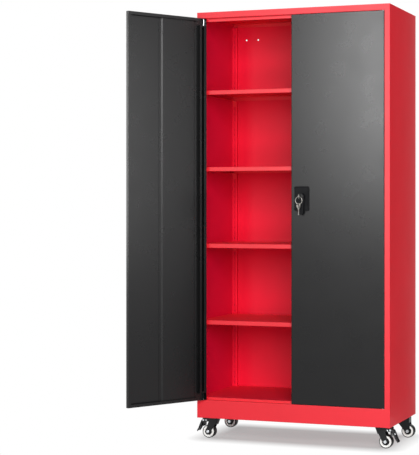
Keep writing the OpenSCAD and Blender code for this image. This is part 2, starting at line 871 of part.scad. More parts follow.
// Axle bolt with its head and nut and, on a braked caster, the pedal's pin
module axle(side, end, braked) {
  trail = braked ? front_trail : rear_trail;
  head = axle_d * 0.62;
  color(zinc) on_caster(side, end) {
    translate([trail, 0, wheel_r]) {
      rod_along_y(axle_r, -leg_out - head, leg_out + head + 2);
      for (y = [-leg_out - head, leg_out])
        translate([0, y + head, 0]) rotate([90, 0, 0]) cylinder(r = axle_d * 0.8, h = head, $fn = 6);
    }
    if (braked)
      translate([pedal_x, 0, pedal_z]) {
        rod_along_y(pedal_pin_r, -leg_out - over, leg_out + over);
        for (y = [-leg_out - 2, leg_out])
          rod_along_y(pedal_pin_r + 1.5, y, y + 2);
      }
  }
}

// Frame of a caster's wheel: its axle stands on Z
module on_wheel(side, end, braked) {
  on_caster(side, end)
    translate([braked ? front_trail : rear_trail, 0, wheel_r]) rotate([90, 0, 0]) children();
}

module hub(side, end, braked) {
  boss = 2 * (leg_in - seat);
  web = wheel_w * 0.72;
  color(black) on_wheel(side, end, braked) difference() {
    union() {
      cylinder(r = hub_boss_r, h = boss, center = true);
      cylinder(r = hub_r, h = web, center = true);
    }
    cylinder(r = axle_r + run, h = boss + 2 * over, center = true);
  }
}

module ring(side, end, braked) {
  color(white) on_wheel(side, end, braked) difference() {
    cylinder(r = rim_r, h = wheel_w - 1, center = true);
    cylinder(r = hub_r + run / 2, h = wheel_w + 2 * over, center = true);
  }
}

// Tyre with round shoulders
module tyre(side, end, braked) {
  shoulder = tyre_t * 0.8;
  inner = rim_r + run / 2;
  color(rubber) on_wheel(side, end, braked) rotate_extrude() intersection() {
    translate([inner, -wheel_w / 2]) square([tyre_t, wheel_w]);
    union() {
      translate([inner, -wheel_w / 2]) square([tyre_t - shoulder, wheel_w]);
      translate([inner, -wheel_w / 2 + shoulder]) square([wheel_r - inner, wheel_w - 2 * shoulder]);
      for (y = [-1, 1])
        translate([wheel_r - shoulder, y * (wheel_w / 2 - shoulder)]) circle(shoulder);
    }
  }
}

// Brake pedal: knuckle on the pin, tread that slopes down behind the wheel, and shoe over the tyre
module pedal(side, end) {
  pivot = [pedal_x, pedal_z];
  knuckle_r = pedal_pin_r + 2;
  color(black) on_caster(side, end) difference() {
    union() {
      along_y(-pedal_w / 2, pedal_w / 2) {
        bar(pivot, pedal_knee, pedal_t);
        bar(pedal_knee, pedal_toe, pedal_t);
        bar(pivot, shoe, 2 * shoe_r);
      }
      translate([pedal_x, 0, pedal_z]) rod_along_y(knuckle_r, -leg_in + 0.5, leg_in - 0.5);
    }
    translate([pedal_x, 0, pedal_z]) rod_along_y(pedal_pin_r + run, -leg_in - over, leg_in + over);
  }
}

side_panel(-1);  // left_side_panel
side_panel(1);  // right_side_panel
back_panel();
top_panel();
header_rail();
plinth_rail();
floor_panel();
base_pan();
front_upright(-1);  // front_left_upright
front_upright(1);  // front_right_upright
rear_upright(-1);  // rear_left_upright
rear_upright(1);  // rear_right_upright
shelf(1);  // shelf_1
shelf(2);  // shelf_2
shelf(3);  // shelf_3
shelf(4);  // shelf_4
shelf_clips();
left_door_skin();
left_door_stiffeners();
left_door_pins();
right_door_skin();
right_door_stiffeners();
right_door_pins();
lock_plate();
lock_case();
rod_guides();
lever();
crank();
lock_cylinder();
keys();
upper_rod();
lower_rod();
caster_bolts();
caster_plate(-1, -1);  // front_left_plate
fork(-1, -1, true);  // front_left_fork
axle(-1, -1, true);  // front_left_axle
hub(-1, -1, true);  // front_left_hub
ring(-1, -1, true);  // front_left_ring
tyre(-1, -1, true);  // front_left_tyre
pedal(-1, -1);  // front_left_pedal
caster_plate(1, -1);  // front_right_plate
fork(1, -1, true);  // front_right_fork
axle(1, -1, true);  // front_right_axle
hub(1, -1, true);  // front_right_hub
ring(1, -1, true);  // front_right_ring
tyre(1, -1, true);  // front_right_tyre
pedal(1, -1);  // front_right_pedal
caster_plate(-1, 1);  // rear_left_plate
fork(-1, 1, false);  // rear_left_fork
axle(-1, 1, false);  // rear_left_axle
hub(-1, 1, false);  // rear_left_hub
ring(-1, 1, false);  // rear_left_ring
tyre(-1, 1, false);  // rear_left_tyre
caster_plate(1, 1);  // rear_right_plate
fork(1, 1, false);  // rear_right_fork
axle(1, 1, false);  // rear_right_axle
hub(1, 1, false);  // rear_right_hub
ring(1, 1, false);  // rear_right_ring
tyre(1, 1, false);  // rear_right_tyre
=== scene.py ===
"""Looks of the garage storage cabinet: finishes, turned and pressed details, light and camera."""

import json

import bmesh
import bpy
import numpy as np
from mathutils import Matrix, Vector


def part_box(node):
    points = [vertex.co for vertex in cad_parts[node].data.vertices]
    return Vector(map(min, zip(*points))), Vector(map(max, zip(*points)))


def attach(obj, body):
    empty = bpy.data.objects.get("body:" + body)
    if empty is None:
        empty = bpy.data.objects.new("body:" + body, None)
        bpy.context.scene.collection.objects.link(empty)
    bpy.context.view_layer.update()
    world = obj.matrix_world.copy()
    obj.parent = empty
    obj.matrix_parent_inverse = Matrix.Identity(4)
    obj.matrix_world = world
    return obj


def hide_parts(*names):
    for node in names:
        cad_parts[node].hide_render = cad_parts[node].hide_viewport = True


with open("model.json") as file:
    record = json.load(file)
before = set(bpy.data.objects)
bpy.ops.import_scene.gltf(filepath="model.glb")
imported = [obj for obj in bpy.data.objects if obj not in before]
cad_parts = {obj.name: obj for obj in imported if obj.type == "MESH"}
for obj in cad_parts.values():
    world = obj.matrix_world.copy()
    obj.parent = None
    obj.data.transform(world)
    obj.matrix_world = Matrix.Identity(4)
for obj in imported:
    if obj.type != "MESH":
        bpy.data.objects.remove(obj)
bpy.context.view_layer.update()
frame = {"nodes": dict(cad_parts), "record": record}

# Shapes below are in millimetres and are turned to metres where a mesh or a node takes them
MM = 0.001
TURN = 2 * np.pi

# The axes that profiles are turned about, by their place in a point
ALONG_Y, ALONG_Z = 1, 2

# Half a profile starts this far from the middle, so that the two halves share no point
NEAR_MIDDLE = 0.1


# Colours and nodes

# A Mix node that blends two colours: its settings, and the sockets of the share and of the two colours
BLEND = {"output": 2, "data_type": "RGBA"}
SHARE, FIRST, SECOND = 0, 6, 7


def linear(hex_colour):
    """Linear RGBA of an sRGB hex colour."""
    srgb = np.array([int(hex_colour[i : i + 2], 16) for i in (1, 3, 5)]) / 255
    rgb = np.where(srgb <= 0.04045, srgb / 12.92, ((srgb + 0.055) / 1.055) ** 2.4)
    return (*rgb.tolist(), 1.0)


def add(tree, kind, inputs, output=0, **settings):
    """Adds a shader node, sets its properties, sets or links its inputs, and returns one of its outputs."""
    made = tree.nodes.new("ShaderNode" + kind)
    for name, value in settings.items():
        setattr(made, name, value)
    for key, value in inputs.items():
        if isinstance(value, bpy.types.NodeSocket):
            tree.links.new(value, made.inputs[key])
        else:
            made.inputs[key].default_value = value
    return made.outputs[output]


def per_mm(size_mm):
    """Texture scale whose features are size_mm wide on Object coordinates in metres."""
    return 1000 / size_mm


def finish(name, **sockets):
    """A new material, its tree, its shader with the given sockets set, and its Object coordinates."""
    made = bpy.data.materials.new(name)
    made.use_nodes = True
    tree = made.node_tree
    shader = tree.nodes["Principled BSDF"]
    for socket, value in sockets.items():
        shader.inputs[socket.replace("_", " ")].default_value = value
    place = add(tree, "TexCoord", {}, "Object")
    return made, tree, shader, place


# Finishes


def powder_coat(name, colour, deep, worn, roughness, gloss, peel_mm, peel, inside=None):
    """Oven-cured polyester powder on steel. It flows into a faint orange peel, varies a little in depth of
    colour, gathers dust on upward faces and takes hairline scuffs. The peel is drawn up to twice as wide as
    the real 2 mm so that it shows. Where an inside colour is given, the side walls have it on the faces that
    look towards the middle of the case: a deeper, cooler red that is painted shade, standing in for the
    shade inside the case."""
    uneven = 0.03
    made, tree, shader, place = finish(name, IOR=1.5, Specular_IOR_Level=gloss)
    normal = add(tree, "NewGeometry", {}, "Normal")
    cloud = add(tree, "TexNoise", {"Vector": place, "Scale": per_mm(260), "Detail": 3.0})
    cloud = add(tree, "MapRange", {"Value": cloud, "From Min": 0.3, "From Max": 0.7})
    depth = add(tree, "Mix", {SHARE: cloud, FIRST: linear(deep), SECOND: linear(colour)}, **BLEND)
    if inside:
        # The X of a point times the X of its normal is this far below zero, in metres, only on inner faces
        out_from_middle = add(tree, "SeparateXYZ", {0: place}, "X")
        facing = add(tree, "SeparateXYZ", {0: normal}, "X")
        outward = add(tree, "Math", {0: out_from_middle, 1: facing}, operation="MULTIPLY")
        inner_shade_mask = add(tree, "MapRange", {"Value": outward, "From Min": -0.2, "From Max": -0.3})
        # Painted shade: faces that look towards the middle of the case take the deeper, cooler inside red
        depth = add(tree, "Mix", {SHARE: inner_shade_mask, FIRST: depth, SECOND: linear(inside)}, **BLEND)
    streak = add(tree, "Mapping", {"Vector": place, "Scale": (1.0, 1.0, 0.06)})
    scuff = add(tree, "TexNoise", {"Vector": streak, "Scale": per_mm(9), "Detail": 4.0, "Roughness": 0.6})
    scuff = add(tree, "MapRange", {"Value": scuff, "From Min": 0.70, "From Max": 0.76, "To Max": 0.16})
    scuffed = add(tree, "Mix", {SHARE: scuff, FIRST: depth, SECOND: linear(worn)}, **BLEND)
    upward = add(tree, "SeparateXYZ", {0: normal}, "Z")
    upward = add(tree, "MapRange", {"Value": upward, "From Min": 0.6, "From Max": 1.0, "To Max": 0.03})
    specks = add(tree, "TexNoise", {"Vector": place, "Scale": per_mm(40), "Detail": 4.0})
    dust = add(tree, "Math", {0: upward, 1: specks}, operation="MULTIPLY")
    dusted = add(tree, "Mix", {SHARE: dust, FIRST: scuffed, SECOND: linear("#cfc8c0")}, **BLEND)
    smudge = add(tree, "TexNoise", {"Vector": place, "Scale": per_mm(90), "Detail": 4.0})
    matt = {"To Min": roughness - uneven, "To Max": roughness + uneven}
    smudge = add(tree, "MapRange", {"Value": smudge, **matt})
    skin = add(tree, "TexNoise", {"Vector": place, "Scale": per_mm(peel_mm), "Detail": 1.0})
    skin = add(tree, "Bump", {"Height": skin, "Strength": peel, "Distance": 0.3 * MM})
    tree.links.new(dusted, shader.inputs["Base Color"])
    tree.links.new(smudge, shader.inputs["Roughness"])
    tree.links.new(skin, shader.inputs["Normal"])
    return made


def plated(name, colour, tint, roughness, spangle_mm):
    """Electroplated steel or brass: a bright metal whose crystals differ a little in tint and gloss, with
    fine drawing marks along the length. The crystals are drawn coarser than real ones so that they show."""
    uneven = 0.1
    made, tree, shader, place = finish(name, Metallic=1.0)
    crystal = add(tree, "TexVoronoi", {"Vector": place, "Scale": per_mm(spangle_mm)}, "Color")
    crystal = add(tree, "SeparateXYZ", {0: crystal}, "X")
    tinted = add(tree, "Mix", {SHARE: crystal, FIRST: linear(colour), SECOND: linear(tint)}, **BLEND)
    rough = add(tree, "TexNoise", {"Vector": place, "Scale": per_mm(12), "Detail": 3.0})
    matt = {"To Min": roughness - uneven, "To Max": roughness + uneven}
    rough = add(tree, "MapRange", {"Value": rough, **matt})
    drawn = add(tree, "Mapping", {"Vector": place, "Scale": (1.0, 1.0, 0.1)})
    drawn = add(tree, "TexNoise", {"Vector": drawn, "Scale": per_mm(1.5)})
    drawn = add(tree, "Bump", {"Height": drawn, "Strength": 0.06, "Distance": 0.2 * MM})
    tree.links.new(tinted, shader.inputs["Base Color"])
    tree.links.new(rough, shader.inputs["Roughness"])
    tree.links.new(drawn, shader.inputs["Normal"])
    return made


def moulded(name, colour, rub, roughness, gloss, grain_mm, grain):
    """Moulded plastic or rubber: the spark-eroded grain of the mould, with patches that handling has
    polished. The grain is drawn coarser than the real one so that it shows."""
    polished = 0.04
    made, tree, shader, place = finish(name, IOR=1.46, Specular_IOR_Level=gloss)
    patch = add(tree, "TexNoise", {"Vector": place, "Scale": per_mm(28), "Detail": 4.0})
    patch = add(tree, "MapRange", {"Value": patch, "From Min": 0.42, "From Max": 0.72})
    rubbed = add(tree, "Mix", {SHARE: patch, FIRST: linear(colour), SECOND: linear(rub)}, **BLEND)
    matt = {"To Min": roughness + polished, "To Max": roughness - polished}
    polish = add(tree, "MapRange", {"Value": patch, **matt})
    grit = add(tree, "TexNoise", {"Vector": place, "Scale": per_mm(grain_mm)})
    grit = add(tree, "Bump", {"Height": grit, "Strength": grain, "Distance": 0.25 * MM})
    tree.links.new(rubbed, shader.inputs["Base Color"])
    tree.links.new(polish, shader.inputs["Roughness"])
    tree.links.new(grit, shader.inputs["Normal"])
    return made


FINISH_OF_SLOT = {
    # Case and shelves: a strong red with a wide, soft sheen; the deeper, cooler red on the inner walls is
    # painted shade
    "red_powder_coat": powder_coat(
        "satin_red_powder_coat",
        "#e91329",
        deep="#e11125",
        worn="#ef6d70",
        roughness=0.48,
        gloss=0.46,
        peel_mm=4.0,
        peel=0.05,
        inside="#dd0236",
    ),
    # Doors: near black, so that their grey is the long soft highlight of the lights
    "charcoal_powder_coat": powder_coat(
        "satin_charcoal_powder_coat",
        "#0f0f10",
        deep="#0d0d0e",
        worn="#343434",
        roughness=0.28,
        gloss=0.245,
        peel_mm=3.5,
        peel=0.03,
    ),
    # Forks, plates and pedals: black with narrow highlights on the bends
    "black_coated_steel": powder_coat(
        "black_coated_pressed_steel",
        "#17181a",
        deep="#121314",
        worn="#4a4c4f",
        roughness=0.26,
        gloss=0.26,
        peel_mm=3.0,
        peel=0.07,
    ),
    # Pins, rods, bolts and axles are a bluish bright metal, and the keys a warmer and darker one
    "zinc_steel": plated("zinc_plated_steel", "#d3d6d9", tint="#bfc3c6", roughness=0.30, spangle_mm=2.5),
    "lock_chrome": plated("nickel_plated_brass", "#b4b0aa", tint="#a29f99", roughness=0.30, spangle_mm=4.0),
    # The lock's plastic is dull, the hubs are glossier, the rims shine and the rubber is dull and coarse
    "black_plastic": moulded(
        "grained_black_plastic", "#101012", rub="#151517", roughness=0.55, gloss=0.1, grain_mm=1.2, grain=0.1
    ),
    "hub_plastic": moulded(
        "black_hub_plastic", "#0e0f10", rub="#161718", roughness=0.40, gloss=0.25, grain_mm=1.6, grain=0.06
    ),
    "white_nylon": moulded(
        "moulded_white_nylon", "#f4f4f1", rub="#ebebe6", roughness=0.34, gloss=0.5, grain_mm=2.0, grain=0.04
    ),
    "tyre_rubber": moulded(
        "black_tyre_rubber", "#0f0f10", rub="#1a1a1b", roughness=0.55, gloss=0.25, grain_mm=1.0, grain=0.16
    ),
}

# The inner sheets, which the spray gun reaches from further off, have a thinner and drier coat of the red.
# Its deeper, cooler colour is painted shade: it stands in for the shade inside the case.
THIN_RED_WITH_PAINTED_SHADE = powder_coat(
    "thin_red_coat_painted_shade",
    "#e90c33",
    deep="#e10b2e",
    worn="#ef6d70",
    roughness=0.55,
    gloss=0.17,
    peel_mm=4.0,
    peel=0.05,
)
INNER_SHEETS = {"back_panel", "floor_panel", "rear_left_upright", "rear_right_upright"}

for part in frame["record"]["subparts"]:
    slots = frame["nodes"][part["node"]].data.materials
    slots.clear()
    slots.append(THIN_RED_WITH_PAINTED_SHADE if part["node"] in INNER_SHEETS else FINISH_OF_SLOT[part["material_slot"]])


# Surfaces

# Edges that turn by more than these angles are sharp in the shading, and rounded where a node is softened
SHARP_FROM = np.radians(38)
ROUNDED_FROM = np.radians(35)

# Points that lie closer than this, in metres, are one, and faces that turn by less than this are one face
SAME_POINT = 0.001 * MM
SAME_FACE = np.radians(1.0)


def grid(points, wrap_rows):
    """Points and quads of a (rows, columns, 3) array: each quad joins a point to the next row and the next
    column. The last column joins the first, and so does the last row if wrap_rows is true."""
    ids = np.arange(points.shape[0] * points.shape[1]).reshape(points.shape[:2])
    below = np.roll(ids, -1, axis=0)
    quads = np.stack([ids, below, np.roll(below, -1, axis=1), np.roll(ids, -1, axis=1)], axis=-1)
    if not wrap_rows:
        quads = quads[:-1]
    return points.reshape(-1, 3), quads.reshape(-1, 4).tolist()


def turned(profile, centre, axis, steps=72):
    """A closed profile of (radius, place along the axis) carried round the axis: the radius times the cosine
    and sine of the angle gives the other two coordinates."""
    angle = np.arange(steps) * TURN / steps
    points = np.empty((len(profile), steps, 3))
    points[..., axis] = profile[:, 1:]
    points[..., (axis + 1) % 3] = profile[:, :1] * np.cos(angle)
    points[..., (axis + 2) % 3] = profile[:, :1] * np.sin(angle)
    return grid(points + centre, wrap_rows=True)


def lofted(rings):
    """Skin over a stack of closed rings, (rings, points, 3), with a flat face on the first and the last."""
    points, faces = grid(rings, wrap_rows=False)
    count = rings.shape[1]
    last = len(points) - count
    return points, faces + [list(range(count)), list(range(last, last + count))]


def arc(centre, radius, start, end, steps=7):
    """Points on a circle from one angle to another, in degrees."""
    angle = np.radians(np.linspace(start, end, steps))
    return np.stack([centre[0] + radius * np.cos(angle), centre[1] + radius * np.sin(angle)], axis=1)


def mirrored(half):
    """A closed profile from its half at positive places along the axis, run back at the negative ones."""
    return np.concatenate([half, half[::-1] * (1, -1)])


def dressed(name, data, slot, body, replaced):
    """An object for a finished mesh, with the finish of a slot, the body that it rides on and the nodes that
    it stands for."""
    data.materials.clear()
    data.materials.append(FINISH_OF_SLOT[slot])
    data.shade_smooth()
    data.set_sharp_from_angle(angle=SHARP_FROM)
    made = bpy.data.objects.new(name, data)
    bpy.context.scene.collection.objects.link(made)
    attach(made, body)
    if replaced:
        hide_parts(*replaced)
    return made


def piece(name, blocks, slot, body, replaced=()):
    """One mesh at the origin from blocks of millimetre points and faces."""
    points, faces, first = [], [], 0
    for block_points, block_faces in blocks:
        points.append(block_points)
        faces += [[first + corner for corner in face] for face in block_faces]
        first += len(block_points)
    data = bpy.data.meshes.new(name)
    data.from_pydata((np.concatenate(points) * MM).tolist(), [], faces)
    shape = bmesh.new()
    shape.from_mesh(data)
    bmesh.ops.recalc_face_normals(shape, faces=shape.faces)
    shape.to_mesh(data)
    shape.free()
    dressed(name, data, slot, body, replaced)


def softened(node, body, slot, radius_mm, segments=3):
    """A merged copy of a node's own mesh with its sharp edges rounded, as pressing and tumbling leave
    them."""
    shape = bmesh.new()
    shape.from_mesh(frame["nodes"][node].data)
    bmesh.ops.remove_doubles(shape, verts=shape.verts, dist=SAME_POINT)
    bmesh.ops.dissolve_limit(shape, angle_limit=SAME_FACE, verts=shape.verts, edges=shape.edges)
    data = bpy.data.meshes.new(node + "_rounded")
    shape.to_mesh(data)
    shape.free()
    made = dressed(node + "_rounded", data, slot, body, [node])
    bevel = made.modifiers.new("rounded_edges", "BEVEL")
    bevel.width = radius_mm * MM
    bevel.segments = segments
    bevel.limit_method = "ANGLE"
    bevel.angle_limit = ROUNDED_FROM
    bevel.harden_normals = True


def middle(node):
    """Centre and half size of a node's box, in millimetres."""
    low, high = (np.array(corner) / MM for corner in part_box(node))
    return (low + high) / 2, (high - low) / 2


# Casters


def tyre(name, centre, radius, half_width, bead_r):
    """Tyre: the tread falls off from its middle with the square of the distance, and ends in round
    shoulders. Below them the wall runs in to the lip and the seat on the rim."""
    shoulder, crown = 2.6, 0.35
    lip, lip_in, seat_in = 0.5, 0.4, 0.9
    flat = half_width - shoulder
    along = np.linspace(0, flat, 7)[1:]
    tread = np.stack([radius - crown * (along / flat) ** 2, along], axis=1)
    turn = arc((radius - crown - shoulder, flat), shoulder, 0, 90)[1:]
    wall = [[bead_r + lip, half_width - lip_in], [bead_r, half_width - seat_in]]
    block = turned(mirrored(np.concatenate([tread, turn, wall])), centre, ALONG_Y, steps=96)
    piece(name + "_tread", [block], "tyre_rubber", name + "_wheel", [name + "_tyre"])


def rim(name, centre, outer, inner, half_width):
    """White rim: a rounded outer bead, a shallow dish and an inner bead, turned about the axle."""
    bead, inner_step = 1.1, 0.3
    dish, dish_from_outer, dish_from_inner = 1.0, 2.9, 2.6
    outer_bead = arc((outer - bead, half_width - bead), bead, 0, 110, 6)
    inner_bead = arc((inner + bead, half_width - bead - inner_step), bead, 75, 180, 6)
    flat = [[outer - dish_from_outer, half_width - dish], [inner + dish_from_inner, half_width - dish]]
    half = [[[outer, NEAR_MIDDLE]], outer_bead, flat, inner_bead, [[inner, NEAR_MIDDLE]]]
    block = turned(mirrored(np.concatenate(half)), centre, ALONG_Y, steps=96)
    piece(name + "_white_rim", [block], "white_nylon", name + "_wheel", [name + "_ring"])


def hub(name, centre, radius, bore, half_width):
    """Hub: a boss, a dish and a rim turned about the axle, where the dish is filled almost to the rim in six
    narrow sectors, which are the ribs. A rib's height falls off in proportion to the angle at its sides."""
    boss_r, rim_r, rim_half, dish_half = bore + 4.2, radius - 1.4, 10.6, 6.5
    bore_edge, boss_edge, rim_edge = 0.5, 0.8, 0.4
    boss_draft, rim_draft, corner, rim_corner = 0.3, 0.2, 1.0, 0.8
    steps, ribs, rib_half_deg, rib_side_deg, rib_drop = 144, 6, 6.0, 2.5, 0.6
    boss = [[bore, NEAR_MIDDLE], [bore, half_width - bore_edge], [bore + bore_edge, half_width]]
    boss += [[boss_r - boss_edge, half_width], [boss_r, half_width - boss_edge]]
    dish = [[boss_r + boss_draft, dish_half + corner], [boss_r + corner, dish_half]]
    side = [[rim_r - rim_corner, dish_half], [rim_r, dish_half + corner], [rim_r + rim_draft, rim_half]]
    edge = [[radius - rim_edge, rim_half], [radius, rim_half - rim_edge], [radius, NEAR_MIDDLE]]
    profile = mirrored(np.array(boss + dish + side + edge))
    points, faces = turned(profile, centre, ALONG_Y, steps)
    sector = 360 / ribs
    off_rib = np.abs((np.arange(steps) * 360 / steps) % sector - sector / 2)
    rib = np.clip((rib_half_deg - off_rib) / rib_side_deg, 0, 1)
    in_dish = (profile[:, 0] > boss_r) & (profile[:, 0] < rim_r + rim_draft / 2)
    rise = np.sign(profile[:, 1]) * (rim_half - rib_drop) - profile[:, 1]
    points[:, 1] += (np.where(in_dish, rise, 0)[:, None] * rib).ravel()
    piece(name + "_ribbed_hub", [(points, faces)], "hub_plastic", name + "_wheel", [name + "_hub"])


def race_bead(name, swivel, radius, low, high):
    """Bright rolled edge of the swivel's ball race: a band with a half-elliptic section about the swivel."""
    bulge, wall = 0.7, 1.0
    section = arc((0, (low + high) / 2), (high - low) / 2, -90, 90, 11)
    inside = [[radius - wall, high], [radius - wall, low]]
    profile = np.concatenate([section * (bulge, 1) + (radius, 0), inside])
    piece(name + "_race_bead", [turned(profile, swivel, ALONG_Z)], "zinc_steel", name + "_swivel")


def fork_nose(name, trail, leg_out, roof_top, wheel_r, place):
    """The pressed nose that joins a fork's legs on the swivel's side. At each height it is a half ellipse in
    plan, which starts on the legs' sloping edges and bulges more the lower it is. It ends above the tyre."""
    wall, lap, top_x, leg_end_r = 2.4, 0.6, -19.0, 12.0
    below_roof, above_tyre, inset = 0.2, 2.5, 0.05
    bulge_at_top, bulge_gain = 3.4, 12.0
    height = np.linspace(roof_top - below_roof, 2 * wheel_r + above_tyre, 12)[:, None]
    down = (roof_top - height) / (roof_top - wheel_r)
    edge = top_x + lap + down * (trail - leg_end_r - top_x)
    bulge = bulge_at_top + bulge_gain * down
    turn = np.linspace(-0.5, 0.5, 25) * np.pi
    outer_x, inner_x = (edge - (bulge - skin) * np.cos(turn) for skin in (0, wall))
    outer_y, inner_y = (np.sin(turn) * (leg_out - skin) for skin in (inset, wall))
    rings = np.empty((len(height), 2 * len(turn), 3))
    rings[..., 0] = np.concatenate([outer_x, inner_x[:, ::-1]], axis=1)
    rings[..., 1] = np.concatenate([outer_y, inner_y[::-1]])
    rings[..., 2] = height
    points, faces = lofted(rings)
    piece(name + "_fork_nose", [(place(points), faces)], "black_coated_steel", name + "_swivel")


def stop_rivets(name, leg_out, place):
    """Hollow rivet heads of the brake's stop, one on each leg: a low dome turned about a small bore."""
    rivet_at = (30.0, 0.0, 72.0)
    dome = np.array([[0.9, -0.1], [0.9, 1.3], [2.2, 1.6], [3.2, 1.1], [3.7, 0.2], [3.7, -0.1]])
    on_leg = dome + (0, leg_out)
    heads = [turned(on_leg * (1, way), rivet_at, ALONG_Y, steps=32) for way in (1, -1)]
    blocks = [(place(points), faces) for points, faces in heads]
    piece(name + "_stop_rivets", blocks, "zinc_steel", name + "_swivel")


def pedal_path(along):
    """Side view of a brake pedal: a cubic curve from the pin, over the knee and down to the flared toe, with
    its outward normal. X is the distance from the swivel and Z the height."""
    pulls = np.array([[43.0, 74.5], [60.0, 78.0], [56.5, 48.0], [73.0, 26.5]])
    t = along[:, None]
    share = np.concatenate([(1 - t) ** 3, 3 * t * (1 - t) ** 2, 3 * t**2 * (1 - t), t**3], axis=1)
    change = np.concatenate([-((1 - t) ** 2), (1 - t) * (1 - 3 * t), t * (2 - 3 * t), t**2], axis=1)
    slope = change @ pulls
    slope /= np.linalg.norm(slope, axis=1, keepdims=True)
    return share @ pulls, np.stack([-slope[:, 1], slope[:, 0]], axis=1)


def carried(section, along, place):
    """A closed section of (across, out of the path) points for each step, carried along the pedal's path."""
    spot, out = pedal_path(along)
    rings = np.empty((*section.shape[:2], 3))
    rings[..., 1] = section[..., 0]
    rings[..., 0] = spot[:, :1] + out[:, :1] * section[..., 1]
    rings[..., 2] = spot[:, 1:] + out[:, 1:] * section[..., 1]
    points, faces = lofted(rings)
    return place(points), faces


def channel(half_width, place):
    """The pedal's pressed channel: a flat web with rounded bends and two flanges, whose depth shrinks with
    the square of the way to the toe."""
    wall, bend, flange_at_pin, flange_loss = 2.0, 2.6, 8.5, 4.5
    along = np.linspace(0, 1, 40)
    flange = flange_at_pin - flange_loss * along**2
    bend_at = half_width - bend, -bend
    outer = np.concatenate([[[half_width, 0]], arc(bend_at, bend, 0, 90, 5)])
    inner = np.concatenate([[[half_width - wall, 0]], arc(bend_at, bend - wall, 0, 90, 4)])
    flat = np.concatenate([outer, outer[::-1] * (-1, 1), inner * (-1, 1), inner[::-1]])
    lower_edge = np.array([0, 2 * len(outer) - 1, 2 * len(outer), len(flat) - 1])
    section = np.repeat(flat[None], len(along), axis=0)
    section[:, lower_edge, 1] = -flange[:, None]
    return carried(section, along, place)


def raised(place, first, last, half_width, height, ribs):
    """A flat cover on the pedal with sloping edges, whose height rises and falls with the squared sine of
    the way along it, once for each rib. Its underside is sunk a little into the pedal."""
    edge, sunk, rib_share = 0.8, 0.4, 0.45
    part = np.linspace(0, 1, 9 + 8 * ribs)
    top = height * (1 + rib_share * np.sin(np.pi * ribs * part) ** 2)
    across = np.array([-half_width, edge - half_width, half_width - edge, half_width])
    section = np.empty((len(part), 8, 2))
    section[..., 0] = np.concatenate([across, across[::-1]])
    section[..., 1] = top[:, None] * (0, 1, 1, 0, 0, 0, 0, 0) - (0, 0, 0, 0, sunk, sunk, sunk, sunk)
    return carried(section, first + (last - first) * part, place)


def shoe_arm(pin, shoe, half_width, place):
    """The arm from the pedal's pin to the brake shoe: a bar with a round end, as wide as the pedal."""
    from_pin, half_thick, end_r = 3.0, 1.6, 2.0
    way = (shoe - pin) / np.linalg.norm(shoe - pin)
    square = np.array([way, [-way[1], way[0]]])
    root = pin + [[from_pin, -half_thick], [from_pin, half_thick]] @ square
    outline = np.concatenate([root, shoe + arc((0, 0), end_r, 90, -90, 9) @ square])
    rings = np.empty((2, len(outline), 3))
    rings[..., 0] = outline[:, 0]
    rings[..., 1] = [[-half_width], [half_width]]
    rings[..., 2] = outline[:, 1]
    points, faces = lofted(rings)
    return place(points), faces


def pedal(name, place):
    """Brake pedal: the channel, a tube on the pin, the shoe's arm, a bright cross strip and a ribbed
    tread."""
    half_width, pin, shoe = 14.5, np.array([42.0, 72.0]), np.array([44.1, 48.6])
    pin_r, tube_r, tube_half, tube_edge = 2.6, 4.5, 15.9, 0.4
    tube = [[pin_r, NEAR_MIDDLE], [pin_r, tube_half], [tube_r - tube_edge, tube_half]]
    tube = mirrored(np.array(tube + [[tube_r, tube_half - tube_edge]]))
    points, faces = turned(tube, (pin[0], 0.0, pin[1]), ALONG_Y, steps=40)
    steel = [channel(half_width, place), (place(points), faces), shoe_arm(pin, shoe, half_width, place)]
    strip = raised(place, first=0.50, last=0.585, half_width=half_width - 0.6, height=1.3, ribs=0)
    tread = raised(place, first=0.62, last=0.985, half_width=half_width - 1.2, height=1.0, ribs=8)
    piece(name + "_pedal_channel", steel, "black_coated_steel", name + "_brake", [name + "_pedal"])
    piece(name + "_pedal_strip", [strip], "zinc_steel", name + "_brake")
    piece(name + "_pedal_tread", [tread], "black_plastic", name + "_brake")


def caster(name, braked):
    """All the finer pieces of one caster, placed by the boxes of its solids."""
    play, axle_bore, race_r, leg_past_hub = 0.05, 4.05, 22.0, 2.8
    race_low, race_high, roof_below = 3.2, 0.1, 3.7
    centre, half = middle(name + "_tyre")
    ring_half = middle(name + "_ring")[1]
    hub_half = middle(name + "_hub")[1]
    fork_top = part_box(name + "_fork")[1][2] / MM
    swivel = middle(name + "_plate")[0] * (1, 1, 0)
    outward = np.sign(swivel[0])
    leg_out = hub_half[1] + leg_past_hub

    def place(points):
        """From the swivel's own frame, where the wheel trails along X, to where this caster stands."""
        return points * (outward, outward, 1.0) + swivel

    tyre(name, centre, half[0], half[1], ring_half[0] + play)
    rim(name, centre, ring_half[0], hub_half[0] + play, ring_half[1])
    hub(name, centre, hub_half[0], axle_bore, hub_half[1])
    race_bead(name, swivel, race_r, fork_top - race_low, fork_top - race_high)
    softened(name + "_fork", name + "_swivel", "black_coated_steel", radius_mm=0.8)
    softened(name + "_axle", name + "_swivel", "zinc_steel", radius_mm=0.5)
    softened(name + "_plate", "case", "black_coated_steel", radius_mm=0.6)
    fork_nose(name, abs(centre[0] - swivel[0]), leg_out, fork_top - roof_below, half[0], place)
    if braked:
        pedal(name, place)
        stop_rivets(name, leg_out, place)


for end in ("front", "rear"):
    for side in ("left", "right"):
        caster(f"{end}_{side}", end == "front")


# Lock


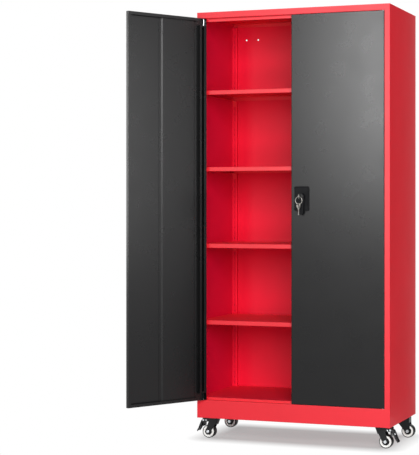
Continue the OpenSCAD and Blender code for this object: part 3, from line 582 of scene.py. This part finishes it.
def key_blade(width, length, thick):
    """Key blade: a flat strip whose cut edge goes in and out in a triangle wave, which fades out at the bow
    and at the tip. Both faces are bevelled."""
    teeth, cut_depth, tip_past, tip_slope, bevel = 6.2, 2.2, 1.8, 0.8, 0.86
    along = np.linspace(0, 1, 25)
    fade = np.clip((1 - along) * 8, 0, 1) * np.clip(along * 6, 0, 1)
    wave = np.abs((along * teeth) % 1 - 0.5) * 2 * fade
    cut_edge = np.stack([width / 2 - cut_depth * wave, along * length], axis=1)
    tip = [[0.0, length + tip_past], [-width / 2, length - tip_slope], [-width / 2, 0.0]]
    outline = np.concatenate([cut_edge, tip])
    layers = np.array([-1, -0.6, 0.6, 1]) * thick / 2
    rings = np.empty((len(layers), len(outline), 3))
    rings[..., 0] = layers[:, None]
    rings[..., 1] = outline[:, 0] * np.array([[bevel], [1], [1], [bevel]])
    rings[..., 2] = outline[:, 1]
    return lofted(rings)


def key_bow(radius, hole_r, hole_off, thick):
    """Key bow: a flat band between an outer circle and an off-centre hole, with rounded rims. Each point lies
    between the two circles at the same angle, by its share of the way in."""
    steps = 60
    angle = np.arange(steps)[:, None] * TURN / steps
    circle = np.concatenate([np.cos(angle), np.sin(angle)], axis=1)
    share = np.array([0, 0.06, 0.5, 0.94, 1])
    face = np.array([0.6, 1, 0.8, 1, 0.6]) * thick / 2
    share = np.concatenate([share, share[::-1]])[:, None, None]
    points = np.empty((len(share), steps, 3))
    points[..., 0] = np.concatenate([face, -face[::-1]])[:, None]
    points[..., 1:] = (1 - share) * circle * radius + share * (circle * hole_r - (0, hole_off))
    return grid(points, wrap_rows=True)


def key_set():
    """The key in the lock, its ring, and the spare key that hangs on the ring and has swung a little
    round."""
    bow_r, hole_r, hole_off, thick, bow_clear = 11.0, 2.5, 6.0, 1.6, 2.0
    blade_w, blade_l, blade_lap = 7.4, 24.0, 0.8
    ring_r, wire_r, hang = 14.0, 0.9, 1.4
    swung = np.radians(-25)
    blade, blade_faces = key_blade(blade_w, blade_l, thick)
    key = [key_bow(bow_r, hole_r, hole_off, thick), (blade + (0, 0, bow_r - blade_lap), blade_faces)]
    cylinder, cylinder_half = middle("lock_cylinder")
    bow_y = cylinder[1] - cylinder_half[1] - bow_clear - bow_r
    ring_at = np.array([cylinder[0], bow_y - hole_off, cylinder[2] - hang - ring_r])
    spare_at = ring_at - (0, 0, hang + ring_r + hole_off)
    into_lock = np.array([[1, 0, 0], [0, 0, -1], [0, 1, 0]])
    hanging = np.array([[np.cos(swung), np.sin(swung), 0], [np.sin(swung), -np.cos(swung), 0], [0, 0, -1]])
    wire = arc((ring_r, 0), wire_r, 0, 330, 12)
    blocks = [(points @ into_lock + (cylinder[0], bow_y, cylinder[2]), faces) for points, faces in key]
    blocks += [(points @ hanging + spare_at, faces) for points, faces in key]
    blocks.append(turned(wire, ring_at, ALONG_Y))
    piece("key_set", blocks, "lock_chrome", "cylinder_set", ["keys"])


key_set()
softened("lock_plate", "right_door", "black_plastic", radius_mm=1.1)
softened("lever", "lever_set", "black_plastic", radius_mm=2.2, segments=4)
softened("lock_cylinder", "cylinder_set", "black_coated_steel", radius_mm=0.5)


# Doors


def pin_sleeve(side):
    """Black nylon sleeve on the lower pivot pin of a door, which carries the door's weight: a thin tube
    turned about the pin, between the door's lower edge and the saddle."""
    play, wall, above_edge, length = 0.02, 0.2, 1.4, 26.2
    pin, pin_half = middle(side + "_door_pins")
    bore = pin_half[0] + play
    outside = bore + wall
    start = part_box(side + "_door_skin")[0][2] / MM + above_edge
    end = start + length
    profile = np.array([[bore, start], [outside, start], [outside, end], [bore, end]])
    block = turned(profile, pin * (1, 1, 0), ALONG_Z, steps=48)
    piece(side + "_door_pin_sleeve", [block], "black_plastic", side + "_door")


for side in ("left", "right"):
    pin_sleeve(side)


# Stage, light and camera

# What the room gives to matt surfaces. To the eye, and in gloss, metal and glass, it is white.
ROOM_LIGHT = 0.05
WHITE = (1.0, 1.0, 1.0, 1.0)

# Sizes and places from here on are in metres. The floor's white glow is held back within this half width and
# depth, so the case's shadow shows only there: its outline is painted, its depth comes from the lamps.
FOOTPRINT = (0.35, 0.15, 0.0)
FLOOR_HALF = 14.0

# The point that every softbox looks at
MIDDLE = (0.0, -0.1, 0.9)


def seen(tree):
    """1 where a surface is seen, by the camera or in gloss, metal and glass, and 0 where it only gives
    light."""
    by_eye = add(tree, "LightPath", {}, "Is Camera Ray")
    in_gloss = add(tree, "LightPath", {}, "Is Glossy Ray")
    in_glass = add(tree, "LightPath", {}, "Is Transmission Ray")
    mirrored_or_clear = add(tree, "Math", {0: in_gloss, 1: in_glass}, operation="MAXIMUM")
    return add(tree, "Math", {0: by_eye, 1: mirrored_or_clear}, operation="MAXIMUM")


def studio_paint(name, colour, fade, near_glow):
    """Pale painted studio floor. It keeps the shadow below the object, and beyond the footprint it fades to
    the plain white of the room. Even within the footprint a share of it, near_glow, is that white."""
    made, tree, shader, place = finish(name, Roughness=0.9, Specular_IOR_Level=0.0)
    shader.inputs["Base Color"].default_value = linear(colour)
    glow = add(tree, "Emission", {"Color": WHITE, "Strength": 1.0})
    beyond = add(tree, "VectorMath", {0: place}, operation="ABSOLUTE")
    beyond = add(tree, "VectorMath", {0: beyond, 1: FOOTPRINT}, operation="SUBTRACT")
    beyond = add(tree, "VectorMath", {0: beyond, 1: (0.0, 0.0, 0.0)}, operation="MAXIMUM")
    beyond = add(tree, "VectorMath", {0: beyond}, "Value", operation="LENGTH")
    # Painted shadow outline: the white glow is held back within the footprint, so the floor's own shade shows
    # only below the case
    white = add(tree, "MapRange", {"Value": beyond, "From Max": fade, "To Min": near_glow})
    amount = add(tree, "Math", {0: white, 1: seen(tree)}, operation="MULTIPLY")
    mixed = add(tree, "MixShader", {0: amount, 1: shader.outputs[0], 2: glow})
    tree.links.new(mixed, tree.nodes["Material Output"].inputs["Surface"])
    return made


def stage_sheet(name, corners, paint):
    """A flat four-cornered sheet of the stage."""
    data = bpy.data.meshes.new(name)
    data.from_pydata(corners, [], [[0, 1, 2, 3]])
    data.materials.append(paint)
    made = bpy.data.objects.new(name, data)
    bpy.context.scene.collection.objects.link(made)
    return made


def softbox(name, at, size, watts):
    """A rectangular soft light of a width and height, which looks at the middle of the object."""
    lamp = bpy.data.lights.new(name, "AREA")
    lamp.shape = "RECTANGLE"
    lamp.size, lamp.size_y = size
    lamp.energy = watts
    made = bpy.data.objects.new(name, lamp)
    bpy.context.scene.collection.objects.link(made)
    made.location = at
    made.rotation_euler = (Vector(MIDDLE) - Vector(at)).to_track_quat("-Z", "Y").to_euler()
    return made


floor_paint = studio_paint("studio_floor_paint", "#b8b8b8", fade=0.11, near_glow=0.36)
floor_corners = np.array([[-1, -1, 0], [1, -1, 0], [1, 1, 0], [-1, 1, 0]]) * FLOOR_HALF
stage_sheet("studio_floor", floor_corners.tolist(), floor_paint)

# A grey cloth flag stands out of view behind the right side, whose gloss shows it in place of the white room
cloth = finish("grey_flag_cloth", Base_Color=linear("#505050"), Roughness=0.9, Specular_IOR_Level=0.0)[0]
flag_corners = [[0.44, 0.3, 0.0], [2.6, 1.4, 0.0], [2.6, 1.4, 2.6], [0.44, 0.3, 2.6]]
flag = stage_sheet("grey_flag", flag_corners, cloth)
flag.visible_camera = False
flag.visible_diffuse = False
flag.visible_shadow = False

softbox("key_softbox", at=(1.75, -4.4, 2.1), size=(2.6, 2.2), watts=198)
softbox("low_softbox", at=(1.2, -3.6, 0.3), size=(1.6, 0.4), watts=26)
softbox("side_softbox", at=(4.2, -0.6, 1.4), size=(0.9, 1.6), watts=34)
softbox("left_softbox", at=(-4.2, -0.4, 1.4), size=(0.9, 1.6), watts=34)
softbox("overhead_softbox", at=(0.2, -0.8, 4.2), size=(2.0, 2.0), watts=10)
softbox("rear_left_softbox", at=(-2.6, 3.4, 2.4), size=(1.4, 1.4), watts=40)
softbox("rear_softbox", at=(-0.6, 4.6, 1.8), size=(1.4, 1.4), watts=30)

# A strip light that shows in gloss alone: it draws the long highlights on the doors and the front edges
gloss_strip = softbox("gloss_strip", at=(-0.72, -4.5, 1.92), size=(0.45, 1.6), watts=108)
gloss_strip.visible_diffuse = False

world = bpy.data.worlds.new("studio")
bpy.context.scene.world = world
world.use_nodes = True
sky = world.node_tree
level = add(sky, "MapRange", {"Value": seen(sky), "To Min": ROOM_LIGHT})
sky.nodes["Background"].inputs["Color"].default_value = WHITE
sky.links.new(level, sky.nodes["Background"].inputs["Strength"])

bpy.context.scene.view_settings.view_transform = "Standard"

# The view of the photograph: position and heading found from the case's edges
EYE = (1.8304, -5.4319, 0.945)
HEADING = (-0.3409, 0.9401, 0.0)
lens = bpy.data.cameras.new("photo_view")
lens.sensor_width = 36.0
lens.lens = 111.9
lens.shift_x = -0.144
lens.shift_y = -0.052
lens.clip_end = 60.0
eye = bpy.data.objects.new("photo_view", lens)
bpy.context.scene.collection.objects.link(eye)
eye.location = EYE
eye.rotation_euler = Vector(HEADING).to_track_quat("-Z", "Y").to_euler()
bpy.context.scene.camera = eye
